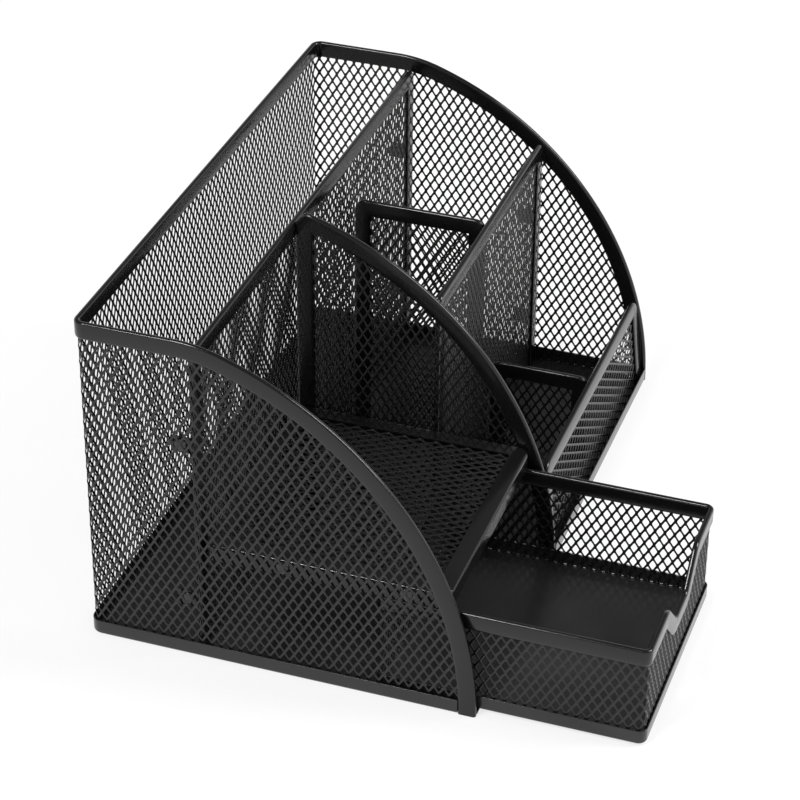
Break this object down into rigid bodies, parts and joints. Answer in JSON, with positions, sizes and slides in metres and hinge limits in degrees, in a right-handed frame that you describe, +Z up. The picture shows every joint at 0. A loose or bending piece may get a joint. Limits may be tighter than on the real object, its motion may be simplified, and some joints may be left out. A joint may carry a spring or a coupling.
{
  "type": "desk organizer",
  "caption": "Black mesh desk organizer with arched sides, framed pen and clip cells, a rear letter slot and a tray over a sliding drawer.",
  "frame": {"origin": "middle of the base pan's underside, on the table", "axes": "+X across the organizer to its right as seen from the front, -Y towards the open front where the drawer pulls out, +Z up"},
  "size_m": [0.22, 0.193, 0.123],
  "materials": {
    "mesh_coat": "semi-gloss black powder coat on expanded steel mesh",
    "rim_coat": "semi-gloss black powder coat on folded steel strip",
    "pan_coat": "glossy black powder coat on pressed sheet steel"
  },
  "bodies": {
    "stand": {"base_pan": "pan_coat", "left_side_mesh": "mesh_coat", "right_side_mesh": "mesh_coat", "back_mesh": "mesh_coat", "left_side_rim": "rim_coat", "right_side_rim": "rim_coat", "back_rim": "rim_coat", "rear_divider_mesh": "mesh_coat", "rear_divider_rim": "rim_coat", "middle_panel_mesh": "mesh_coat", "middle_panel_rim": "rim_coat", "front_divider_mesh": "mesh_coat", "front_divider_rim": "rim_coat", "pen_partition_mesh": "mesh_coat", "pen_partition_rim": "rim_coat", "clip_partition_mesh": "mesh_coat", "clip_partition_rim": "rim_coat", "front_wall_mesh": "mesh_coat", "front_wall_rim": "rim_coat", "tray_mesh": "mesh_coat", "tray_rim": "rim_coat", "spot_welds": "pan_coat"},
    "drawer": {"drawer_pan": "pan_coat", "drawer_front_mesh": "mesh_coat", "drawer_back_mesh": "mesh_coat", "drawer_left_mesh": "mesh_coat", "drawer_right_mesh": "mesh_coat", "drawer_rim": "rim_coat"}
  },
  "joints": [
    {"name": "drawer_slide", "type": "slide", "parent": "stand", "child": "drawer", "axis": [0, -1, 0], "range_m": [-0.057, 0.015]}
  ]
}
